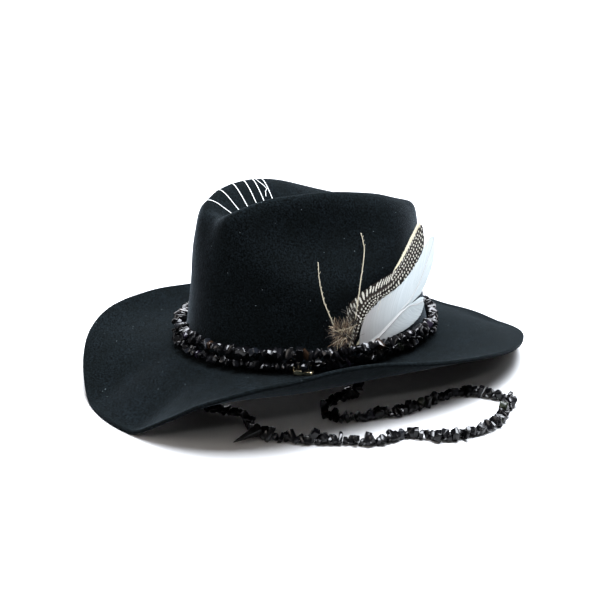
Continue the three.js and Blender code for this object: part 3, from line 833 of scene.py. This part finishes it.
# %% Stone material
PIT = 1.6
ROUNDED_BELOW = 38
black_stone, shader = new_material("tumbled_black_stone")
own_number = add_node(black_stone, "ShaderNodeAttribute", attribute_name="tint")
stone_ramp = add_node(black_stone, "ShaderNodeValToRGB", {"Fac": own_number.outputs["Fac"]})
stone_ramp.color_ramp.interpolation = "CONSTANT"
stone_ramp.color_ramp.elements[0].color = colour("050506")
stone_ramp.color_ramp.elements[1].position = 0.55
stone_ramp.color_ramp.elements[1].color = colour("09090b")
for position, code in ((0.85, "101216"), (0.94, "20160f"), (0.965, "191d15"), (0.98, "16121c")):
    element = stone_ramp.color_ramp.elements.new(position)
    element.color = colour(code)
pits = add_node(
    black_stone, "ShaderNodeTexNoise",
    {"Vector": add_node(black_stone, "ShaderNodeTexCoord").outputs["Object"],
     "Scale": 1 / (PIT * MM), "Detail": 2.0})
bump = add_node(
    black_stone, "ShaderNodeBump", {"Height": pits.outputs["Fac"], "Distance": 0.3 * MM, "Strength": 0.25})
join(black_stone, stone_ramp.outputs["Color"], shader.inputs["Base Color"])
join(black_stone, bump.outputs["Normal"], shader.inputs["Normal"])
shader.inputs["Roughness"].default_value = 0.2
shader.inputs["IOR"].default_value = 1.32
for name, strand in chip_strands.items():
    bpy.ops.object.select_all(action="DESELECT")
    strand.select_set(True)
    bpy.context.view_layer.objects.active = strand
    bpy.ops.object.shade_smooth_by_angle(angle=math.radians(ROUNDED_BELOW))
    strand.data.materials.append(black_stone)
    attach(strand, "root")
    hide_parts(name)
print("stone material nodes:", len(black_stone.node_tree.nodes))

# %% [markdown]
# ## The two odd chips
#
# One chip of the lower strand is brass: two flakes, one on the other, so two slabs are cut
# like the stones. At the front of the chin strand hangs a long stone ground to a point, so it
# is a cone of five sides with bevelled edges.

# %% Gold chip
# Seed, size, turn and shift of each flake.
FLAKES = (
    (41, (8, 5, 3.4), 62, (-2, -2.6, 0.4)),
    (46, (9, 4.2, 2.6), 38, (1.8, 2.2, -0.5)),
)
FLAKE_CUTS, FLAKE_SOFTEN = 9, 0.25
BRASS_DENT = 1.5
gold_low, gold_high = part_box("gold_chip")
gold_middle = (gold_low + gold_high) / 2
points, faces = [], []
for seed, size, turn, shift in FLAKES:
    turned = Matrix.Rotation(math.radians(turn), 3, "Z")
    flake_points, flake_faces = cut_stone(seed, size, FLAKE_CUTS, FLAKE_SOFTEN)
    faces += [tuple(len(points) + n for n in face) for face in flake_faces]
    points += [(gold_middle - HAT) / MM + Vector(shift) + turned @ point for point in flake_points]
gold = add_mesh("brass_chip", points, faces)
brass, shader = new_material("tumbled_brass")
shader.inputs["Base Color"].default_value = colour("fff0c8")
shader.inputs["Metallic"].default_value = 1.0
dents = add_node(
    brass, "ShaderNodeTexNoise",
    {"Vector": add_node(brass, "ShaderNodeTexCoord").outputs["Object"], "Scale": 1 / (BRASS_DENT * MM)})
bump = add_node(brass, "ShaderNodeBump", {"Height": dents.outputs["Fac"], "Distance": 0.3 * MM})
join(brass, bump.outputs["Normal"], shader.inputs["Normal"])
shader.inputs["Roughness"].default_value = 0.25
gold.data.materials.append(brass)
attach(gold, "root")
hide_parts("gold_chip")
print("gold chip:", len(gold.data.polygons), "faces")

# %% Pointed chip
SPIKE_RADIUS, SPIKE_TIP, SPIKE_LENGTH = 4.8, 0.3, 20
SPIKE_START = 0.8
SPIKE_SOFTEN = 0.4
SPIKE_ROOT = Vector((93, -113, 8.5))
SPIKE_HEADING = Vector((-4, -20, -6)).normalized()
bpy.ops.object.select_all(action="DESELECT")
bpy.ops.mesh.primitive_cone_add(
    vertices=5, radius1=SPIKE_RADIUS, radius2=SPIKE_TIP, depth=SPIKE_LENGTH)
spike = bpy.context.object
bpy.ops.object.mode_set(mode="EDIT")
bpy.ops.mesh.select_all(action="SELECT")
bpy.ops.mesh.bevel(offset=SPIKE_SOFTEN, segments=1, affect="EDGES")
bpy.ops.object.mode_set(mode="OBJECT")
facing = SPIKE_HEADING.to_track_quat("Z", "Y").to_matrix()
points, faces = taken_apart(spike, Vector((0, 0, SPIKE_LENGTH / 2 + SPIKE_START)))
pointed = add_mesh("pointed_chip", [SPIKE_ROOT + facing @ point for point in points], faces)
pointed.data.materials.append(black_stone)
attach(pointed, "root")
print("pointed chip:", len(pointed.data.polygons), "faces")

# %% [markdown]
# ## Feathers
#
# A feather is a shaft with a row of barbs on each side, zipped together into a smooth vane
# until they split. A plate with a painted pattern would look flat, so every barb is its own
# thin blade. The barbs run forward from the shaft to the vane's outline, and each lock of
# them shares a little of its aim. All feathers lie in one sheet that follows the crown's side.

# %% Sheet that the feathers lie in
FEATHER_CENTRE = -5
FEATHER_FOOT = 42
SHEET_FRONT = HALF_LENGTH ** 2 / HALF_WIDTH
SHEET_SPRING = 230
SHEET_LEAN = 0.05


def sheet_spot(y, z, out):
    """Place on the sheet, so far out from it."""
    radius = SHEET_FRONT if y < FEATHER_CENTRE else SHEET_SPRING
    curve = (y - FEATHER_CENTRE) ** 2 / (2 * radius)
    side = wall_spot(90, 0.09).x + GAP
    return Vector((side - curve - SHEET_LEAN * (z - FEATHER_FOOT) + out, y, z))


# Each feather is three lines of places (y, z) on the sheet, all from foot to tip: the vane's
# edge above the shaft, the shaft, and the edge below it. Each lies over the one before, and
# lead is how many rows of places a barb runs forward before it reaches the edge.
FEATHERS = {
    "cream_feather": {
        "lead": 0.5,
        "above": [(-23, 43), (-6, 64), (8, 84.5), (17, 94), (27, 104.5), (36, 114.5), (43, 121.5),
                  (46, 124.5)],
        "shaft": [(-22, 42), (-4, 62), (12, 80), (23, 88), (33, 99), (41, 110), (46, 118.5), (48, 123.5)],
        "below": [(-21, 41), (-2, 60), (18, 74), (33, 81), (47, 90), (53.5, 102), (54, 110), (51, 119)]},
    "guinea_feather": {
        "lead": 1.0,
        "above": [(-29.5, 43), (-31, 60), (-29, 73), (-21, 81), (-6, 87), (8, 91), (19, 95), (28, 103),
                  (37, 112.5), (45, 120), (48, 121.5)],
        "shaft": [(-28, 42), (-25, 56), (-20, 68), (-13, 76.5), (-2, 80), (11, 84), (22, 91), (32, 100),
                  (41, 110), (47, 118.5), (49, 121)],
        "below": [(-26.5, 41.5), (-21.5, 53), (-13, 65), (-4, 72), (5, 75.5), (17, 79), (29, 84), (43, 92),
                  (51, 101), (52.5, 111), (50.5, 119)]},
    "white_feather_long": {
        "lead": 2.0,
        "above": [(-27, 45), (-24, 52), (-15, 65), (-3, 73.5), (10, 78), (24, 83.5), (36, 91), (46, 99),
                  (53, 107), (60, 110.5), (64, 110.5)],
        "shaft": [(-20, 41.5), (-8, 45), (4, 52), (13, 57), (22, 62), (31, 66.5), (41, 75), (50, 86),
                  (58, 97), (64, 106), (65, 109.5)],
        "below": [(-19, 41), (-7, 44), (5, 51), (14, 56), (23, 61), (33, 65.5), (48, 70), (58, 80),
                  (65, 90), (67.5, 100), (66, 108)]},
    "white_feather_short": {
        "lead": 1.4,
        "above": [(-14, 42.5), (-4.5, 47.8), (8, 55), (19, 61), (29, 63.5), (37, 64.5), (44, 66.5),
                  (48.5, 65.5)],
        "shaft": [(-14, 42), (-4, 47), (8.5, 54), (19.5, 60), (29, 63.5), (37, 62.5), (43.5, 62.5), (48, 63)],
        "below": [(-13, 41.5), (0, 44), (14, 45), (27, 46.5), (36, 48.5), (43, 51.5), (47.5, 56), (49, 60)]},
}
# The guinea feather's dots are a lattice along and across the vane. Near the foot the barbs
# above the shaft, up to the row BARS_END, carry bars instead.
DOT_STEP = (2.8, 2.9)
DOT_RADIUS = 0.28
BARS_END = 5
BAR_REACH = (0.12, 0.88)


# %% Blades and shafts
def blade(points, faces, line, widths, normal_at, thick):
    """Adds a flat blade along a line of places, with its own width at each."""
    start = len(points)
    for n, (place, width) in enumerate(zip(line, widths)):
        along = (line[min(n + 1, len(line) - 1)] - line[max(n - 1, 0)]).normalized()
        out = normal_at(place)
        side = out.cross(along).normalized() * width / 2
        points += [place - side, place + out * thick / 2, place + side, place - out * thick / 2]
    skin(faces, start, len(line), 4)


def sheet_normal(place):
    radius = SHEET_FRONT if place.y < FEATHER_CENTRE else SHEET_SPRING
    return Vector((1, (place.y - FEATHER_CENTRE) / radius, SHEET_LEAN)).normalized()


def along_line(line, row, steps):
    """Place on a line, so many rows from its foot."""
    at = max(0, min(row * steps, len(line) - 1.001))
    return line[int(at)].lerp(line[int(at) + 1], at % 1)


BARB_PITCH = 0.42
BARB_WIDE = (2, 1.4)
BARB_THICK = 0.16
BARB_CURVE = 0.1
BARB_LEAST = 0.7
BARB_REACH = (0.93, 1.0)
LOCK_BARBS = 19
LOCK_LEAD = (0.97, 1.03)
SHAFT_WIDE, SHAFT_THICK = (1.1, 0.3), 0.6


def make_feather(name, plan, layer, steps=16, segments=6):
    """A feather's barbs and shaft, with each barb's place along and across the vane."""
    chance = random.Random(layer)
    lines = {
        key: smooth_route([Vector((y, z, 0)) for y, z in plan[key]], False, steps)
        for key in ("above", "shaft", "below")}
    shaft_line = lines["shaft"]
    lengths = lengths_along(shaft_line)
    out = layer * LAYER + GAP
    points, faces, spread_of = [], [], []
    for side in ("above", "below"):
        at = 0
        for n in range(int(lengths[-1] / BARB_PITCH)):
            if n % LOCK_BARBS == 0:
                lock_lead = plan["lead"] * chance.uniform(*LOCK_LEAD)
            root_at = n * BARB_PITCH
            while lengths[at + 1] < root_at:
                at += 1
            row = (at + (root_at - lengths[at]) / (lengths[at + 1] - lengths[at])) / steps
            root = along_line(shaft_line, row, steps)
            end = along_line(lines[side], row + lock_lead, steps)
            reach = (end - root).length * chance.uniform(*BARB_REACH)
            if reach < BARB_LEAST:
                continue
            aim = (end - root).normalized()
            heading = (shaft_line[at + 1] - shaft_line[at]).normalized()
            line, widths = [], []
            for k in range(segments + 1):
                share = k / segments
                bow = math.sin(math.pi * share)
                place = root + aim * reach * share - heading * BARB_CURVE * reach * bow
                lift = 0.1 * bow + 0.12 * (n % 2)
                line.append(sheet_spot(place.x, place.y, out + lift))
                widths.append(BARB_PITCH * mix(*BARB_WIDE, share ** 2))
            barred = side == "above" and row < BARS_END
            along = aim.dot(heading) * reach
            across = aim.cross(heading).length * reach * (1 if side == "above" else -1)
            before = len(points)
            blade(points, faces, line, widths, sheet_normal, BARB_THICK)
            for k in range(len(points) - before):
                share = (k // 4) / segments
                if barred:
                    bar = DOT_STEP[1] * mix(*BAR_REACH, share)
                    spread_of += (root_at + along * share * 0.5, bar, root_at)
                else:
                    spread_of += (root_at + along * share, across * share, root_at)
    shaft = [sheet_spot(place.x, place.y, out + 0.25) for place in shaft_line[::4]]
    before = len(points)
    widths = [mix(*SHAFT_WIDE, n / (len(shaft) - 1)) for n in range(len(shaft))]
    blade(points, faces, shaft, widths, sheet_normal, SHAFT_THICK)
    spread_of += [0] * (3 * (len(points) - before))
    feather = add_mesh(name, points, faces)
    feather.data.attributes.new("spread", "FLOAT_VECTOR", "POINT").data.foreach_set("vector", spread_of)
    return feather


feather_pieces = {
    name: make_feather("barbs_" + name, plan, layer) for layer, (name, plan) in enumerate(FEATHERS.items())
}
for name, piece in feather_pieces.items():
    print(name, len(piece.data.polygons), "faces")


# %% [markdown]
# ## Feather keratin
#
# A barb is keratin, so it has a faint gloss. White barbs differ a little, and the white and cream
# feathers are painted darker towards the foot as shade, while the guinea feather turns a lighter
# brown there; both follow each barb's place along the shaft, which was saved with it. The guinea
# feather's pale dots are cells of a slightly uneven lattice laid over the vane.


# %% Feather materials
def feather_material(name, pale, deep, foot_shade_and_tone):
    """Barbs of keratin: slightly glossy, with a fine change of colour from barb to barb, and the colour given
    for the foot mixed in near it, a painted shade on the pale feathers.
    """
    material, shader = new_material(name)
    spread = add_node(material, "ShaderNodeAttribute", attribute_name="spread")
    stretched = add_node(
        material, "ShaderNodeVectorMath",
        {0: spread.outputs["Vector"], 1: (0, 0.1, 1.1)}, operation="MULTIPLY")
    streaks = add_node(
        material, "ShaderNodeTexNoise", {"Vector": stretched.outputs["Vector"], "Scale": 1.0, "Detail": 3.0})
    tone = add_node(
        material, "ShaderNodeMix",
        {"Factor": streaks.outputs["Fac"], "A": colour(pale), "B": colour(deep)}, data_type="RGBA")
    length_way = add_node(material, "ShaderNodeSeparateXYZ", {"Vector": spread.outputs["Vector"]})
    # Near the foot the tone turns to the foot colour: painted shade on the white and cream feathers, a
    # lighter brown on the guinea feather.
    foot_shade_and_tone_share = add_node(
        material, "ShaderNodeMapRange",
        {"Value": length_way.outputs["X"], "From Min": 5, "From Max": 48, "To Min": 0.75, "To Max": 0.0})
    tone = add_node(
        material, "ShaderNodeMix",
        {"Factor": foot_shade_and_tone_share.outputs["Result"], "A": tone.outputs["Result"], "B": colour(foot_shade_and_tone)},
        data_type="RGBA")
    join(material, tone.outputs["Result"], shader.inputs["Base Color"])
    shader.inputs["Roughness"].default_value = 0.55
    shader.inputs["Sheen Weight"].default_value = 0.05
    return material, shader, spread, tone


# Each feather's last colour is its foot: painted shade for the white and cream feathers, a lighter brown for
# the guinea feather.
white_vane, *_ = feather_material("white_feather_keratin", "d3dadb", "939ea2", "857d78")
cream_vane, *_ = feather_material("cream_feather_keratin", "efead4", "cfc6a8", "b8af94")
guinea_vane, shader, spread, tone = feather_material("guinea_feather_keratin", "1d150e", "0b0806", "2a2219")
lattice = add_node(
    guinea_vane, "ShaderNodeVectorMath",
    {0: spread.outputs["Vector"], 1: (1 / DOT_STEP[0], 1 / DOT_STEP[1], 0), 2: (0, 0.5, 0)},
    operation="MULTIPLY_ADD")
spots = add_node(
    guinea_vane, "ShaderNodeTexVoronoi",
    {"Vector": lattice.outputs["Vector"], "Scale": 1.0, "Randomness": 0.15})
dot = add_node(
    guinea_vane, "ShaderNodeMath", {0: spots.outputs["Distance"], 1: DOT_RADIUS}, operation="LESS_THAN")
dotted = add_node(
    guinea_vane, "ShaderNodeMix",
    {"Factor": dot.outputs[0], "A": tone.outputs["Result"], "B": colour("c4c1b6")}, data_type="RGBA")
join(guinea_vane, dotted.outputs["Result"], shader.inputs["Base Color"])
shader.inputs["Specular IOR Level"].default_value = 0.15
shader.inputs["Sheen Weight"].default_value = 0.0
finishes = {
    "cream_feather": (cream_vane, "cream_vane"), "guinea_feather": (guinea_vane, "guinea_vane"),
    "white_feather_long": (white_vane, "white_vane"), "white_feather_short": (white_vane, "white_vane")}
for name, piece in feather_pieces.items():
    piece.data.materials.append(finishes[name][0])
    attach(piece, "root")
    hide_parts(name)
print("feather materials:", [material.name for material, _ in finishes.values()])

# %% [markdown]
# ## Quills and down
#
# Two quills stand bare, with only their round shafts left. At the feathers' foot is down:
# soft barbs that never zip together, so each fibre is drawn by itself.


# %% Quills
# Each quill: how far out it lies from the sheet, and its places (y, z) from foot to tip.
QUILLS = {
    "quill_left": (-0.2, [(-33, 42), (-39, 61), (-46, 81), (-48.5, 97), (-49, 108)]),
    "quill_right": (3.1, [(-30, 42), (-24, 65), (-19, 92), (-15.5, 113), (-18, 126)]),
}
QUILL_RADIUS = (0.42, 0.28)
QUILL_WAVE = 0.2
STUB_RADII = [0.2, 0.05]
bare_quill, shader = new_material("bare_quill_keratin")
shader.inputs["Base Color"].default_value = colour("b8b09b")
shader.inputs["Roughness"].default_value = 0.45
chance = random.Random(3)
for name, (out, quill_places) in QUILLS.items():
    line = smooth_route([sheet_spot(y, z, out) for y, z in quill_places], False, 8)
    line = [place + Vector((0, chance.uniform(-QUILL_WAVE, QUILL_WAVE), 0)) for place in line]
    points, faces = [], []
    rod(points, faces, line, [mix(*QUILL_RADIUS, n / (len(line) - 1)) for n in range(len(line))], 8)
    for place in line[4:-2:2]:
        stub = Vector((0.2, chance.choice((-1, 1)) * chance.uniform(0.7, 1.3), 1.1))
        rod(points, faces, [place, place + stub], STUB_RADII, 4)
    quill = add_mesh("bare_" + name, points, faces)
    quill.data.materials.append(bare_quill)
    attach(quill, "root")
    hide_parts(name)
    print(name, len(line), "places")

# %% Down
# Each tuft's place (y, z) on the sheet and the way it points (y, z). Brown ones are plain down,
# and dark ones are the white-tipped down of the guinea feather.
TUFTS = {
    "brown": [
        ((-36, 55), (-0.9, 0.3)), ((-37, 57), (-0.7, 0.8)), ((-38, 59), (-0.2, 1)),
        ((-40, 57), (-1, -0.1)), ((-37, 53), (-0.8, -0.6)), ((-35, 60), (0.3, 1)),
        ((-33, 57), (0.4, 0.7)), ((-41, 60), (-0.6, 0.9)), ((-36, 51), (-0.3, -0.4)),
        ((-32, 52), (0.3, 0.2))],
    "dark": [
        ((-31, 62), (-0.5, 1)), ((-28, 66), (-0.2, 1)), ((-27, 60), (0.2, 1)),
        ((-26, 70), (-0.4, 1)), ((-30, 56), (0.1, 0.8))],
}
FIBRES = {"brown": 60, "dark": 34}
DEPTHS = {"brown": (0, 3.2), "dark": (-1.5, 0.8)}
TUFT_TINT = (0.04, 0.42)
TUFT_WIDE = 1.3
FIBRE_LENGTH = (3, 7.5)
FIBRE_RADII = [0.17, 0.16, 0.14, 0.11, 0.05]
chance = random.Random(8)
points, faces, tints = [], [], []
tufts = [(kind, *tuft) for kind in TUFTS for tuft in TUFTS[kind]]
for kind, (y, z), (aim_y, aim_z) in tufts:
    tuft_tint = chance.uniform(*TUFT_TINT)
    for _ in range(FIBRES[kind]):
        depth = chance.uniform(*DEPTHS[kind])
        y_at, z_at = y + chance.gauss(0, TUFT_WIDE), z + chance.gauss(0, TUFT_WIDE)
        root = sheet_spot(y_at, z_at, FEATHER_STACK + depth)
        stray = [chance.gauss(0, amount) for amount in (0.2, 0.4, 0.4)]
        heading = Vector((stray[0], aim_y + stray[1], aim_z + stray[2])).normalized()
        curl = Vector((chance.gauss(0, 0.3), chance.gauss(0, 0.6), chance.gauss(0, 0.6)))
        length = chance.uniform(*FIBRE_LENGTH)
        line = [root + heading * length * t + curl * length * 0.5 * t * t for t in (0, 0.25, 0.5, 0.75, 1)]
        before = len(points)
        rod(points, faces, line, FIBRE_RADII, 3)
        tint = min(0.49, max(0.01, chance.gauss(tuft_tint, 0.1))) + (0.5 if kind == "dark" else 0)
        tints += [tint] * (len(points) - before)
down = add_mesh("grey_down", points, faces)
down.data.attributes.new("tint", "FLOAT", "POINT").data.foreach_set("value", tints)
grey_down, shader = new_material("grey_down_keratin")
tint_node = add_node(grey_down, "ShaderNodeAttribute", attribute_name="tint")
down_ramp = add_node(grey_down, "ShaderNodeValToRGB", {"Fac": tint_node.outputs["Fac"]})
down_ramp.color_ramp.interpolation = "CONSTANT"
down_ramp.color_ramp.elements[0].color = colour("231a13")
down_ramp.color_ramp.elements[1].position = 0.2
down_ramp.color_ramp.elements[1].color = colour("6b5946")
for position, code in ((0.34, "c0b298"), (0.5, "0c0a08"), (0.66, "2a251f"), (0.9, "b4b1a6")):
    down_ramp.color_ramp.elements.new(position).color = colour(code)
join(grey_down, down_ramp.outputs["Color"], shader.inputs["Base Color"])
shader.inputs["Roughness"].default_value = 0.8
down.data.materials.append(grey_down)
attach(down, "root")
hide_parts("fluff")
print("down:", len(down.data.polygons), "faces")
